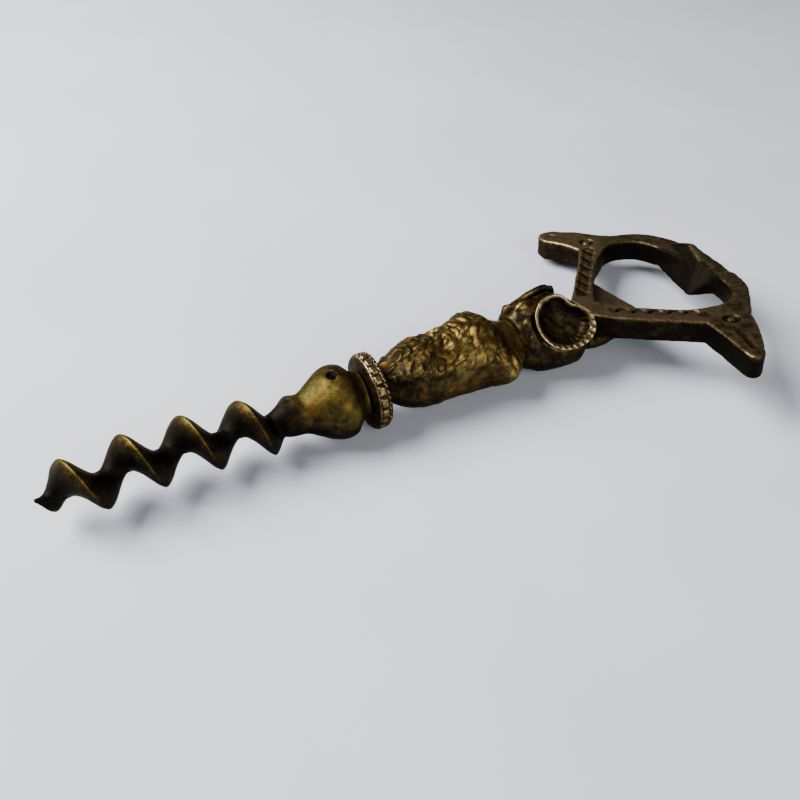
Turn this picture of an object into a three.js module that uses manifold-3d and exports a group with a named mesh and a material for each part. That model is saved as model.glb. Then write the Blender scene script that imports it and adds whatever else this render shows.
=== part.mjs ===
// Figural pull corkscrew: a screw worm, a pear-shaped bulb, a beaded collar, a feathered torso and a
// big-eyed owl's head on one line, with a flat crown-cap opener frame for a handle.
// Millimetres. Each piece is built along its own +X line, the worm's tip at -X and the handle at +X,
// with -Y the front and +Z up. The whole line is then laid down on the table, Z = 0.
import * as THREE from "three";
import { mergeVertices } from "three/addons/utils/BufferGeometryUtils.js";
import { ConvexGeometry } from "three/addons/geometries/ConvexGeometry.js";
import Module from "manifold-3d";

const wasm = await Module();
wasm.setup();

// ---- driving dimensions ---------------------------------------------------------------------
const GAP = 0.3;                   // clearance between neighbouring pieces
const ROLL = -8.6;                 // degrees about +X: the part lies with its far wing low

const COLLAR_RADIUS = 6.4;
const COLLAR_BACK = -2.15;
const COLLAR_FRONT = 0.45;
const COLLAR_BEADS = 20;
const BEAD_GAP_DEPTH = 0.35;
const STUD_RADIUS = 1.5;           // tie rod through bulb, collar, torso and head
const STUD_BACK = -4.5;
const STUD_FRONT = 30.5;

const WORM_TIP = -53.0;
const WORM_END = -16.2;
const WORM_PITCH = 8.4;
const WORM_RADIUS = 4.8;
const WORM_CORE = 0.95;
const WORM_POINT = 0.2;            // radius at the very tip
const WORM_TAPER = 3.6;            // length over which the crest dies out at the tip
const CREST_SHARPNESS = 1.7;
const WORM_PHASE = -0.82;          // radians, the angle of the crest at X = 0
const WORM_BOW = 1.2;              // the middle stands off the line by this much, back and up
const TIP_LIFT = 1.0;              // the tip is bent up
const ROOT_RADIUS = 2.2;           // where the worm's last turn meets the bulb's nose
const SHANK_RADIUS = 2.0;
const SHANK_END = -5.1;
const PIN_X = -7.3;                // cross pin that locks the shank
const PIN_RADIUS = 0.6;
const PIN_LEAN = 9.5;              // degrees the pin's top leans to the front

const BULB_START = -15.9;
const BULB_END = COLLAR_BACK - GAP;
const TORSO_START = 0.75;
const TORSO_END = 25.9;
const HEAD_START = 26.2;
const HEAD_END = 40.3;
const HEAD_SQUARENESS = 2.7;
const KNOB_CENTRE = [41.3, -1.9, -3.7];   // the back of the crown, under the handle
const KNOB_RADII = [5.9, 3.4, 2.6];

const EYE_CENTRE = [33.9, 4.9, 4.5];
const EYE_AXIS = [-0.1, 0.77, 0.63];
const EYE_RADIUS = 5.5;
const EYE_BASE_RADIUS = 4.1;
const EYE_DEPTH = 2.7;
const DISH_RADIUS = 4.7;
const DISH_DEPTH = 1.6;
const EYE_ROOM = GAP * 1.5;        // wider, since the drawn-in side narrows the gap too
const EYE_NOTCHES = [
  { angle: 45, spread: 38, depth: 0.34 },
  { angle: 75, spread: 75, depth: 0.14 },
  { angle: -35, spread: 30, depth: -0.1 }];

const PLATE_BOTTOM = -1.1;
const PLATE_TOP = 3.1;
const PLATE_BEVEL = 0.45;
const WEB_BOTTOM = -0.9;           // thin floor across the point of the V
const WEB_TOP = 0.3;
const TANG_RADIUS = 1.7;
const TANG_START = 32.0;
const TANG_END = 42.0;
const TANG_Y = -1.0;
const TANG_Z = 1.0;
const DOWEL_X = 36.4;
const DOWEL_RADIUS = 0.6;

// ---- helpers --------------------------------------------------------------------------------
const toSolid = (geometry) => {
  const plain = geometry.clone();
  plain.deleteAttribute("normal");
  plain.deleteAttribute("uv");
  const merged = mergeVertices(plain, 1e-4);
  return new wasm.Manifold(new wasm.Mesh({
    numProp: 3,
    vertProperties: new Float32Array(merged.attributes.position.array),
    triVerts: new Uint32Array(merged.index.array),
  }));
};

const toGeometry = (solid) => {
  const mesh = solid.getMesh();
  const geometry = new THREE.BufferGeometry();
  geometry.setAttribute("position", new THREE.BufferAttribute(mesh.vertProperties, 3));
  geometry.setIndex(new THREE.BufferAttribute(mesh.triVerts, 1));
  geometry.computeVertexNormals();
  return geometry;
};

// Closed skin over rings of points that follow each other along +X.
const skin = (rings) => {
  const count = rings[0].length;
  const points = rings.flat();
  const faces = [];
  for (let i = 0; i + 1 < rings.length; i += 1) {
    for (let j = 0; j < count; j += 1) {
      const next = (j + 1) % count;
      const a = i * count + j;
      const b = i * count + next;
      faces.push(a, b, b + count, a, b + count, a + count);
    }
  }
  const centre = (ring) => ring.reduce((sum, p) => sum.add(p), new THREE.Vector3())
    .divideScalar(count);
  const first = points.push(centre(rings[0])) - 1;
  const last = points.push(centre(rings[rings.length - 1])) - 1;
  const lastRing = (rings.length - 1) * count;
  for (let j = 0; j < count; j += 1) {
    const next = (j + 1) % count;
    faces.push(first, next, j, last, lastRing + j, lastRing + next);
  }
  const geometry = new THREE.BufferGeometry().setFromPoints(points);
  geometry.setIndex(faces);
  return geometry;
};

const steps = (from, to, count) => Array.from(
  { length: count + 1 }, (_, i) => from + ((to - from) * i) / count);

// Body whose distance from the X line is radius(x, angle), the angle measured from +Y to +Z.
const radialBody = (xs, sides, radius) => skin(xs.map((x) => steps(0, 2 * Math.PI, sides)
  .slice(0, sides).map((angle) => {
    const r = radius(x, angle);
    return new THREE.Vector3(x, r * Math.cos(angle), r * Math.sin(angle));
  })));

// Smooth curve through [x, value] pairs.
const curveThrough = (pairs) => (x) => {
  let i = 0;
  while (i < pairs.length - 2 && x > pairs[i + 1][0]) i += 1;
  const [x0, v0] = pairs[i];
  const [x1, v1] = pairs[i + 1];
  const t = THREE.MathUtils.clamp((x - x0) / (x1 - x0), 0, 1);
  const slope = (k) => {
    const low = pairs[Math.max(k - 1, 0)];
    const high = pairs[Math.min(k + 1, pairs.length - 1)];
    return (high[1] - low[1]) / (high[0] - low[0]);
  };
  const span = x1 - x0;
  const t2 = t * t;
  const t3 = t2 * t;
  return (2 * t3 - 3 * t2 + 1) * v0 + (t3 - 2 * t2 + t) * span * slope(i)
    + (3 * t2 - 2 * t3) * v1 + (t3 - t2) * span * slope(i + 1);
};

// Rod along X, or along Z.
const rodX = (from, to, radius, y = 0, z = 0, sides = 20) => new THREE.CylinderGeometry(
  radius, radius, to - from, sides).rotateZ(-Math.PI / 2).translate((from + to) / 2, y, z);
const rodZ = (x, from, to, radius, y = 0, sides = 16) => new THREE.CylinderGeometry(
  radius, radius, to - from, sides).rotateX(Math.PI / 2).translate(x, y, (from + to) / 2);

const hump = (distance, width) => Math.exp(-((distance / width) ** 2));
const angleBetween = (a, b) => Math.abs(Math.atan2(Math.sin(a - b), Math.cos(a - b)));
const degrees = THREE.MathUtils.degToRad;

// ---- worm -----------------------------------------------------------------------------------
// Rod through the bulb and the shank, reach each way from the line.
const pinRod = (reach, radius) => rodZ(PIN_X, -reach, reach, radius).rotateX(degrees(PIN_LEAN));

// Forged by hand: along the top the crests wander, forwards near the bulb and backwards at the tip.
const crestDrift = (x, angle) => {
  const top = 0.5 + 0.5 * Math.cos(angle - Math.PI / 4);
  const forward = 1.35 * THREE.MathUtils.clamp((x + 49) / 34, 0, 1) - 0.42;
  const atTip = 1 - THREE.MathUtils.smoothstep(x, -51, -46);
  return top * forward - 0.6 * (1 - top) * atTip;
};

const wormCrest = (x, angle) => {
  const turn = 2 * Math.PI * (x / WORM_PITCH) - angle + WORM_PHASE - crestDrift(x, angle);
  const wave = 0.5 + 0.5 * Math.cos(turn);
  const crest = WORM_CORE + (WORM_RADIUS - WORM_CORE) * wave ** CREST_SHARPNESS;
  const tip = THREE.MathUtils.smoothstep(x, WORM_TIP - 0.5, WORM_TIP + WORM_TAPER);
  const root = THREE.MathUtils.smoothstep(x, WORM_END - 3.5, WORM_END);
  const tapered = WORM_POINT + (crest - WORM_POINT) * tip;
  return tapered + (ROOT_RADIUS + 0.2 * (crest - WORM_CORE) - tapered) * root;
};

const makeWorm = () => {
  const rings = steps(WORM_TIP, WORM_END, 74).map((x) => {
    const bow = WORM_BOW * Math.sin(Math.PI * ((x - WORM_END) / (WORM_TIP - WORM_END)) ** 1.2);
    const lift = TIP_LIFT * (1 - THREE.MathUtils.smoothstep(x, WORM_TIP - 0.5, WORM_TIP + 3.2));
    return steps(0, 2 * Math.PI, 20).slice(0, 20).map((angle) => {
      const r = wormCrest(x, angle);
      const back = r * Math.cos(angle) + 0.58 * bow;
      const high = r * Math.sin(angle) + 0.81 * bow + lift;
      return new THREE.Vector3(x, back, high);
    });
  });
  return toGeometry(toSolid(skin(rings))
    .add(toSolid(rodX(WORM_END - 1, SHANK_END, SHANK_RADIUS)))
    .subtract(toSolid(pinRod(4, PIN_RADIUS + GAP))));
};

const makeWormPin = () => pinRod(5.6, PIN_RADIUS);

// ---- bulb and collar ------------------------------------------------------------------------
const bulbRadius = curveThrough([
  [BULB_START, 2.7], [-14.2, 3.1], [-12.6, 3.35], [-10.7, 4.4], [-8.7, 5.6], [-6.8, 6.1],
  [-5.2, 5.8], [-4.2, 4.85], [-3.5, 4.2], [BULB_END, 3.9]]);

const makeBulb = () => toGeometry(toSolid(radialBody(steps(BULB_START, BULB_END, 20), 32, bulbRadius))
  .subtract(toSolid(rodX(BULB_START - 1, SHANK_END + GAP, SHANK_RADIUS + GAP)))
  .subtract(toSolid(rodX(STUD_BACK - GAP, 0, STUD_RADIUS + GAP)))
  .subtract(toSolid(pinRod(7, PIN_RADIUS + GAP))));

const makeCollar = () => {
  const half = (COLLAR_FRONT - COLLAR_BACK) / 2;
  const middle = (COLLAR_FRONT + COLLAR_BACK) / 2;
  const rim = (x, angle) => {
    const crown = 1 - 0.14 * Math.abs((x - middle) / half) ** 4;
    const gap = (0.5 - 0.5 * Math.cos(COLLAR_BEADS * angle)) ** 3;
    return crown * (COLLAR_RADIUS - BEAD_GAP_DEPTH * gap);
  };
  return toGeometry(toSolid(radialBody(steps(COLLAR_BACK, COLLAR_FRONT, 8), COLLAR_BEADS * 4, rim))
    .subtract(toSolid(rodX(-4, 4, STUD_RADIUS + GAP))));
};

// ---- torso ----------------------------------------------------------------------------------
const torsoBase = curveThrough([
  [TORSO_START, 3.2], [2.0, 3.6], [3.6, 4.6], [5.5, 5.4], [8, 5.9], [12, 5.9], [16, 6.1], [19, 6.25],
  [20.9, 6.0], [22.5, 4.9], [24, 4.4], [TORSO_END, 4.0]]);

// Wing shoulders low at the sides and a fuller breast above them, alike on both sides.
const TORSO_LOBES = [
  { x: 22.9, angle: 190, length: 2.7, spread: 31, height: 2.8 },
  { x: 18.5, angle: 125, length: 3.4, spread: 34, height: 1.0 }];

const torsoRadius = (x, angle) => TORSO_LOBES.reduce((radius, lobe) => {
  const near = hump(angleBetween(angle, degrees(lobe.angle)), degrees(lobe.spread));
  const far = hump(angleBetween(angle, degrees(180 - lobe.angle)), degrees(lobe.spread));
  return radius + lobe.height * hump(x - lobe.x, lobe.length) * (near + far);
}, torsoBase(x));

const makeTorso = () => toGeometry(toSolid(
  radialBody(steps(TORSO_START, TORSO_END, 26), 36, torsoRadius))
  .subtract(toSolid(rodX(TORSO_START - 1, TORSO_END + 1, STUD_RADIUS + GAP))));

const makeTieRod = () => rodX(STUD_BACK, STUD_FRONT, STUD_RADIUS, 0, 0, 16);

// ---- head and eyes --------------------------------------------------------------------------
const headWidth = curveThrough([
  [HEAD_START, 3.8], [27, 4.7], [29.5, 5.8], [32, 6.7], [34.5, 7.0], [37, 6.6], [39, 5.1],
  [HEAD_END, 3.2]]);
const headTop = curveThrough([
  [HEAD_START, 4.7], [27, 5.6], [29.5, 6.2], [32, 6.4], [34.5, 6.1], [37, 5.1], [39, 4.0],
  [HEAD_END, 2.8]]);
const headBottom = curveThrough([
  [HEAD_START, 3.6], [27.5, 4.9], [29.5, 5.8], [32, 6.1], [34.5, 6.2], [37, 6.2], [39, 5.7],
  [HEAD_END, 4.6]]);

const mirrored = ([x, y, z], side) => [x, side * y, z];

// Rounded-square section: |y / width|^n + |z / height|^n = 1, n being the squareness.
const headRadius = (x, angle) => {
  const height = Math.sin(angle) > 0 ? headTop(x) : headBottom(x);
  const y = Math.abs(Math.cos(angle)) / headWidth(x);
  const z = Math.abs(Math.sin(angle)) / height;
  return (y ** HEAD_SQUARENESS + z ** HEAD_SQUARENESS) ** (-1 / HEAD_SQUARENESS);
};

// How much of its round radius an eye disc keeps at an angle from +X towards the crown: the side
// next to the handle is drawn in.
const eyeShare = (angle) => EYE_NOTCHES.reduce((share, notch) => share
  - notch.depth * hump(angleBetween(angle, degrees(notch.angle)), degrees(notch.spread)), 1);

// A turned outline laid on the eye's axis, with its rim drawn in by eyeShare.
const eyePiece = (outline, side) => {
  const profile = outline.map(([radius, height]) => new THREE.Vector2(radius, height));
  const axis = new THREE.Vector3(...mirrored(EYE_AXIS, side)).normalize();
  const up = new THREE.Vector3(0, 0, 1).projectOnPlane(axis).normalize();
  const along = new THREE.Vector3().crossVectors(up, axis).multiplyScalar(-side);
  const turn = new THREE.Quaternion().setFromUnitVectors(new THREE.Vector3(0, 1, 0), axis);
  const geometry = new THREE.LatheGeometry(profile, 40).applyQuaternion(turn);
  const place = geometry.attributes.position;
  const point = new THREE.Vector3();
  for (let i = 0; i < place.count; i += 1) {
    point.fromBufferAttribute(place, i);
    const height = point.dot(axis);
    point.addScaledVector(axis, -height);
    point.multiplyScalar(eyeShare(Math.atan2(point.dot(up), point.dot(along))));
    point.addScaledVector(axis, height);
    place.setXYZ(i, point.x, point.y, point.z);
  }
  return geometry.translate(...mirrored(EYE_CENTRE, side));
};

// Dished eye disc, its mouth at height 0 and its root below. grow widens it all round.
const eyeOutline = (grow) => [
  [0, -EYE_DEPTH - grow], [EYE_BASE_RADIUS + grow, -EYE_DEPTH - grow],
  [EYE_RADIUS + grow - 0.15, -1.0], [EYE_RADIUS + grow, -0.45],
  [EYE_RADIUS + grow - 0.3, grow * 6]];

const makeEye = (side) => {
  const bowl = steps(0, 1, 6).reverse().map((t) => [
    DISH_RADIUS * t, -0.1 - DISH_DEPTH * Math.cos((t * Math.PI) / 2)]);
  return eyePiece([...eyeOutline(0), ...bowl], side);
};

const eyeRoom = (side) => toSolid(eyePiece([...eyeOutline(EYE_ROOM), [0, EYE_ROOM * 6]], side));

const makeHead = () => {
  const skull = toSolid(radialBody(steps(HEAD_START, HEAD_END, 20), 36, headRadius));
  const knob = toSolid(new THREE.SphereGeometry(1, 24, 16).scale(...KNOB_RADII)
    .translate(...KNOB_CENTRE));
  const plateRoom = toSolid(new THREE.BoxGeometry(20, 30, 10)
    .translate(10 + 39.5, 0, 5 + PLATE_BOTTOM - GAP));
  return toGeometry(skull.add(knob)
    .subtract(plateRoom)
    .subtract(eyeRoom(1))
    .subtract(eyeRoom(-1))
    .subtract(toSolid(rodX(HEAD_START - 1, STUD_FRONT + GAP, STUD_RADIUS + GAP)))
    .subtract(toSolid(rodX(TANG_START - GAP, 45, TANG_RADIUS + GAP, TANG_Y, TANG_Z)))
    .subtract(toSolid(rodZ(DOWEL_X, -9, 3.2, DOWEL_RADIUS + GAP, TANG_Y))));
};

// ---- opener frame ---------------------------------------------------------------------------
const FRONT_BAR = [[42.5, -7.9], [45.8, -10.9], [50.2, -14.5], [53.5, -17.5]];
const FRONT_WING_BACK = [[52.7, -22.5], [51.6, -27.4]];
const FRONT_TIP = [[51.7, -29.3], [53.0, -29.9], [54.5, -29.1]];
const FRONT_WING_FRONT = [[58.1, -24.9], [60.1, -22.1], [61.9, -19.2]];
const ARC = [[66.2, -14.7], [69.4, -10.6], [71.1, -4.6], [72.0, 1.0], [72.2, 6.4], [71.5, 11.3],
  [69.7, 15.4], [66.8, 18.0], [63.3, 19.5]];
const REAR_WING_FRONT = [[61.1, 21.9], [58.9, 25.0], [55.6, 28.0]];
const REAR_TIP = [[53.2, 28.9], [51.5, 27.6], [51.1, 25.2]];
const REAR_BAR = [[53.3, 21.5], [54.2, 17.9], [50.6, 13.3], [46.6, 8.8], [42.0, 3.7]];
const APEX = [[40.1, 1.9], [39.8, -4.6]];

const HOLE = [[43.4, -0.9], [45.8, -4.3], [48.1, -6.8], [50.8, -9.4], [54.8, -12.3], [57.8, -13.4],
  [60.8, -13.8], [63.8, -12.5], [66.0, -9.6], [67.1, -5.0], [67.4, 0.5], [67.4, 6.0], [66.9, 10.4],
  [65.4, 14.0], [62.6, 15.9], [59.4, 15.6], [56.6, 13.8], [52.8, 10.7], [48.7, 6.3], [45.6, 2.4]];

const plateOutline = () => {
  const shape = new THREE.Shape();
  const vectors = (points) => points.map(([x, y]) => new THREE.Vector2(x, y));
  shape.moveTo(...APEX[1]);
  FRONT_BAR.forEach((point) => shape.lineTo(...point));
  shape.splineThru(vectors([...FRONT_WING_BACK, ...FRONT_TIP]));
  shape.splineThru(vectors(FRONT_WING_FRONT));
  shape.splineThru(vectors(ARC));
  shape.splineThru(vectors([...REAR_WING_FRONT, ...REAR_TIP]));
  shape.splineThru(vectors(REAR_BAR.slice(0, 2)));
  REAR_BAR.slice(2).forEach((point) => shape.lineTo(...point));
  shape.lineTo(...APEX[0]);
  shape.closePath();
  const hole = new THREE.Path();
  hole.moveTo(...HOLE[0]);
  hole.splineThru(vectors([...HOLE.slice(1), HOLE[0]]));
  shape.holes.push(hole);
  return shape;
};

// Flat plate with softened edges, its outline kept by the mid-height of the plate.
const makePlate = () => new THREE.ExtrudeGeometry(plateOutline(), {
  depth: PLATE_TOP - PLATE_BOTTOM - 2 * PLATE_BEVEL,
  bevelEnabled: true,
  bevelThickness: PLATE_BEVEL,
  bevelSize: PLATE_BEVEL,
  bevelOffset: -PLATE_BEVEL,
  bevelSegments: 2,
  curveSegments: 4,
}).translate(0, 0, PLATE_BOTTOM + PLATE_BEVEL);

const hull = (points) => toSolid(new ConvexGeometry(
  points.map((point) => new THREE.Vector3(...point))));

const makeFrame = () => {
  const web = new THREE.Shape([[41.5, -2], [51.4, -11.6], [51.0, 9.9], [41.5, 0]]
    .map(([x, y]) => new THREE.Vector2(x, y)));
  const floor = new THREE.ExtrudeGeometry(web, { depth: WEB_TOP - WEB_BOTTOM, bevelEnabled: false })
    .translate(0, 0, WEB_BOTTOM);
  const lifter = hull([
    [69.7, 9.2, 3.5], [69.6, 4.2, 5.0], [70.8, 4.1, 5.0], [67.8, -0.5, 4.0], [70.6, -3.4, 3.3],
    [68.3, -5.7, 3.1], [71.2, 6.8, 3.4], [66.9, 9.0, -1.0], [65.1, 2.0, -1.5], [63.9, -2.1, -1.6],
    [64.0, -3.0, -1.5], [65.7, -4.1, -1.4], [67.6, -5.7, -1.1], [70.8, 8.0, 2.4], [71.2, 2.0, 2.4],
    [70.0, 9.0, -0.9], [70.0, -4.0, -0.9]]);
  return toGeometry(toSolid(makePlate())
    .add(toSolid(floor))
    .add(lifter)
    .add(toSolid(rodX(TANG_START, TANG_END, TANG_RADIUS, TANG_Y, TANG_Z)))
    .subtract(toSolid(rodZ(DOWEL_X, -4, 4, DOWEL_RADIUS + GAP, TANG_Y))));
};

const makeDowel = () => rodZ(DOWEL_X, -5.6, 2.9, DOWEL_RADIUS, TANG_Y);

// ---- assembly -------------------------------------------------------------------------------
const brass = (color, roughness) => new THREE.MeshStandardMaterial({ color, roughness, metalness: 1 });

const line = new THREE.Group();
const addPiece = (name, geometry, material) => {
  const mesh = new THREE.Mesh(geometry, material);
  mesh.name = name;
  line.add(mesh);
};

addPiece("worm", makeWorm(), brass(0x4a3a1c, 0.42));
addPiece("worm_cross_pin", makeWormPin(), brass(0x2a1f12, 0.6));
addPiece("bulb", makeBulb(), brass(0x9a7a34, 0.34));
addPiece("beaded_collar", makeCollar(), brass(0x8c7038, 0.4));
addPiece("torso", makeTorso(), brass(0x94742f, 0.4));
addPiece("tie_rod", makeTieRod(), brass(0x7a6236, 0.5));
addPiece("head", makeHead(), brass(0x6a5428, 0.42));
addPiece("front_eye_disc", makeEye(-1), brass(0x7a6230, 0.4));
addPiece("rear_eye_disc", makeEye(1), brass(0x7a6230, 0.4));
addPiece("opener_frame", makeFrame(), brass(0x6e562c, 0.45));
addPiece("handle_dowel", makeDowel(), brass(0x5c4826, 0.5));

// Laid on the table: rolled about its line, then moved so that the origin is under its middle.
line.rotation.x = degrees(ROLL);
const part = new THREE.Group();
part.add(line);
part.updateMatrixWorld(true);
const box = new THREE.Box3().setFromObject(part, true);
line.position.set(-(box.min.x + box.max.x) / 2, -(box.min.y + box.max.y) / 2, -box.min.z);

export default part;
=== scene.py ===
"""Figural pull corkscrew in old brass: worm, bulb, beaded collar, feathered torso, big-eyed head and
a flat opener frame.

Shapes are worked out in millimetres along the corkscrew's own line, with X from the worm's tip to
the handle, -Y to the front and Z up, and are then laid into the row frame. Angles round the line
run from +Y towards +Z, so the top is at 90 degrees and the front at 180.
"""

import math

import bmesh
import bpy
import numpy as np
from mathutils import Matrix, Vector, noise


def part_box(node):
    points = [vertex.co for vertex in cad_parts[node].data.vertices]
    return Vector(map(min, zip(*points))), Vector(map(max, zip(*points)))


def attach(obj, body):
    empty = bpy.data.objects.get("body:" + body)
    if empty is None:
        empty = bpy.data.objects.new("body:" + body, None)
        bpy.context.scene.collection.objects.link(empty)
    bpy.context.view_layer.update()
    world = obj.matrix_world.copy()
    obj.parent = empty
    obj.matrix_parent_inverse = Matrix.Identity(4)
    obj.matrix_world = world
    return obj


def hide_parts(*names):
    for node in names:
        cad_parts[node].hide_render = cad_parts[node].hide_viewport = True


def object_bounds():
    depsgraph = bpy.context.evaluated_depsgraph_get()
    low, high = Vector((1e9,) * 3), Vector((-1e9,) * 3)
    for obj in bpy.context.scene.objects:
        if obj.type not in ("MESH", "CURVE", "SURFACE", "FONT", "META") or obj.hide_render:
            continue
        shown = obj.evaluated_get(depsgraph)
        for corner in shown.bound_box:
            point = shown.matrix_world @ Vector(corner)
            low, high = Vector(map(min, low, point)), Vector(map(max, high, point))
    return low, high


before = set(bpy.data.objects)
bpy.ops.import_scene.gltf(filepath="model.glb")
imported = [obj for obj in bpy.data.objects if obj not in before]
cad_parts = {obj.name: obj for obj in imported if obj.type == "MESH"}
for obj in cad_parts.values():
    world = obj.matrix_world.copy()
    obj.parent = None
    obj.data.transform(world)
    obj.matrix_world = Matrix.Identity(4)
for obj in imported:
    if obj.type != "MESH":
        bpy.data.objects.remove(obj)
CAD_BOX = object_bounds()
MM = 0.001

# ---- the corkscrew's own line ---------------------------------------------------------------
ROLL = math.radians(-8.6)          # the line lies rolled about X, rear wing low
WORM_TIP = -53.0                   # where each piece starts and ends along the line
WORM_JOIN = -16.0
BULB_END = -2.45
COLLAR_BACK = -2.15
COLLAR_FRONT = 0.45
TORSO_START = 0.75
TORSO_END = 25.9
HEAD_START = 26.0
HEAD_END = 40.3

collar_low, collar_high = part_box("beaded_collar")
ORIGIN = np.array([collar_low.x / MM - COLLAR_BACK, (collar_low.y + collar_high.y) / 2 / MM,
                   (collar_low.z + collar_high.z) / 2 / MM])


def turn_about_line(angle):
    """A turn about X as a matrix, from +Y towards +Z."""
    return np.array([[1, 0, 0],
                     [0, math.cos(angle), -math.sin(angle)],
                     [0, math.sin(angle), math.cos(angle)]])


TURN = turn_about_line(ROLL)


def to_row(points):
    """Points on the line, in mm, as row-frame metres."""
    return (np.asarray(points, float) @ TURN.T + ORIGIN) * MM


def to_line(points):
    """Row-frame metres as points on the line, in mm."""
    return (np.asarray(points, float) / MM - ORIGIN) @ TURN


# ---- small maths ----------------------------------------------------------------------------
def smooth_step(value, start, end):
    """0 up to start, 1 from end on, and a soft rise between them."""
    t = np.clip((value - start) / (end - start), 0, 1)
    return t * t * (3 - 2 * t)


def hump(distance, width):
    """1 at no distance, falling away in a bell shape as wide as width."""
    return np.exp(-((distance / width) ** 2))


def wrapped(angle):
    """The same angle between -pi and pi."""
    return np.arctan2(np.sin(angle), np.cos(angle))


def curve_through(pairs):
    """Smooth curve through (x, value) pairs."""
    xs = np.array([p[0] for p in pairs], float)
    vs = np.array([p[1] for p in pairs], float)
    slopes = np.array([(vs[min(i + 1, len(vs) - 1)] - vs[max(i - 1, 0)])
                       / (xs[min(i + 1, len(xs) - 1)] - xs[max(i - 1, 0)]) for i in range(len(xs))])

    def value(x):
        i = np.clip(np.searchsorted(xs, x, side="right") - 1, 0, len(xs) - 2)
        span = xs[i + 1] - xs[i]
        t = np.clip((x - xs[i]) / span, 0, 1)
        return ((2 * t**3 - 3 * t**2 + 1) * vs[i] + (t**3 - 2 * t**2 + t) * span * slopes[i]
                + (3 * t**2 - 2 * t**3) * vs[i + 1] + (t**3 - t**2) * span * slopes[i + 1])
    return value


def lumps(points, size, seed):
    """Soft random relief from -1 to 1 over points in mm, its lumps about size mm across."""
    shift = Vector((seed, seed * 1.7, -seed))
    return np.array([noise.noise(Vector(p) / size + shift) for p in points])


# ---- meshes ---------------------------------------------------------------------------------
def add_object(name, data):
    obj = bpy.data.objects.new(name, data)
    bpy.context.scene.collection.objects.link(obj)
    return obj


def shade_smooth(mesh):
    mesh.polygons.foreach_set("use_smooth", [True] * len(mesh.polygons))


def tube_faces(rows, columns):
    """Faces of a closed skin over rows of columns points, then its two end centres."""
    faces = []
    for i in range(rows - 1):
        for j in range(columns):
            a, b = i * columns + j, i * columns + (j + 1) % columns
            faces.append((a, b, b + columns, a + columns))
    first, last, end = rows * columns, rows * columns + 1, (rows - 1) * columns
    for j in range(columns):
        faces.append((first, (j + 1) % columns, j))
        faces.append((last, end + j, end + (j + 1) % columns))
    return faces


def skin(name, points):
    """A closed smooth object over a grid of points on the line, in mm."""
    rows, columns = points.shape[:2]
    ends = [points[0].mean(0), points[-1].mean(0)]
    points = np.concatenate([points.reshape(-1, 3), ends])
    mesh = bpy.data.meshes.new(name)
    mesh.from_pydata(to_row(points).tolist(), [], tube_faces(rows, columns))
    mesh.validate()
    shade_smooth(mesh)
    return add_object(name, mesh)


def with_ends(values, first, last):
    """Values over a grid in the order of its skin's points, where the end centres come last."""
    return np.append(values.ravel(), [first, last])


def grid(start, end, rows, columns):
    """Steps from start to end down the rows, and a full turn in radians across the columns."""
    return np.meshgrid(np.linspace(start, end, rows),
                       np.linspace(0, 2 * math.pi, columns, endpoint=False), indexing="ij")


def around_line(x, angle, radius):
    """Points at radius from the line."""
    return np.stack([x, radius * np.cos(angle), radius * np.sin(angle)], -1)


def radial_piece(name, start, end, rows, columns, radius, bow=None):
    """A skin at radius(x, angle) from the line, or from the line as it is bent by bow(x)."""
    x, angle = grid(start, end, rows, columns)
    points = around_line(x, angle, radius(x, angle))
    if bow is not None:
        points += bow(x)
    return skin(name, points)


def ball(centre, radii, rows=48, columns=64, tilt=0.0):
    """An ellipsoid, turned by tilt in the upright plane through the line."""
    x, angle = grid(0, math.pi, rows, columns)
    ring = np.sin(x)
    points = np.stack([-np.cos(x) * radii[0], ring * np.cos(angle) * radii[1],
                       ring * np.sin(angle) * radii[2]], -1)
    turn = np.array([[math.cos(tilt), 0, -math.sin(tilt)], [0, 1, 0],
                     [math.sin(tilt), 0, math.cos(tilt)]])
    return skin("ball", points @ turn.T + np.array(centre))


def row_points(obj):
    """Every point of obj, in row-frame metres."""
    values = np.zeros(len(obj.data.vertices) * 3, np.float32)
    obj.data.vertices.foreach_get("co", values)
    return values.reshape(-1, 3).astype(float)


def row_normals(obj):
    values = np.zeros(len(obj.data.vertices) * 3, np.float32)
    obj.data.vertex_normals.foreach_get("vector", values)
    return values.reshape(-1, 3).astype(float)


def set_row_points(obj, points):
    obj.data.vertices.foreach_set("co", points.astype(np.float32).ravel())
    obj.data.update()


def line_points(obj):
    """Every point of obj on the line, in mm."""
    return to_line(row_points(obj))


def line_normals(obj):
    return row_normals(obj) @ TURN


def facing_up(obj):
    """How far each point faces up from the table, from -1 to 1."""
    return row_normals(obj)[:, 2]


def move_along_normal(obj, distance):
    """Moves every point out by distance, in mm."""
    set_row_points(obj, row_points(obj) + row_normals(obj) * (distance[:, None] * MM))


def relief_of(obj, rounds):
    """How far each point stands out of its surroundings, in mm: positive on ridges and edges.

    More rounds of averaging compare it with wider surroundings.
    """
    mesh = obj.data
    edges = np.zeros(len(mesh.edges) * 2, np.int64)
    mesh.edges.foreach_get("vertices", edges)
    a, b = edges.reshape(-1, 2).T
    count = len(mesh.vertices)
    degree = np.bincount(a, minlength=count) + np.bincount(b, minlength=count)
    start = row_points(obj)
    points = start.copy()
    for _ in range(rounds):
        total = np.stack([np.bincount(a, points[b, k], count) + np.bincount(b, points[a, k], count)
                          for k in range(3)], -1)
        points = 0.5 * points + 0.5 * total / np.maximum(degree, 1)[:, None]
    return np.einsum("ij,ij->i", start - points, row_normals(obj)) / MM


def paint(obj, **fields):
    """Stores numbers per point for the materials to read."""
    for name, values in fields.items():
        attribute = obj.data.attributes.new(name, "FLOAT", "POINT")
        attribute.data.foreach_set("value", np.clip(values, 0, 1).astype(np.float32))


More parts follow.
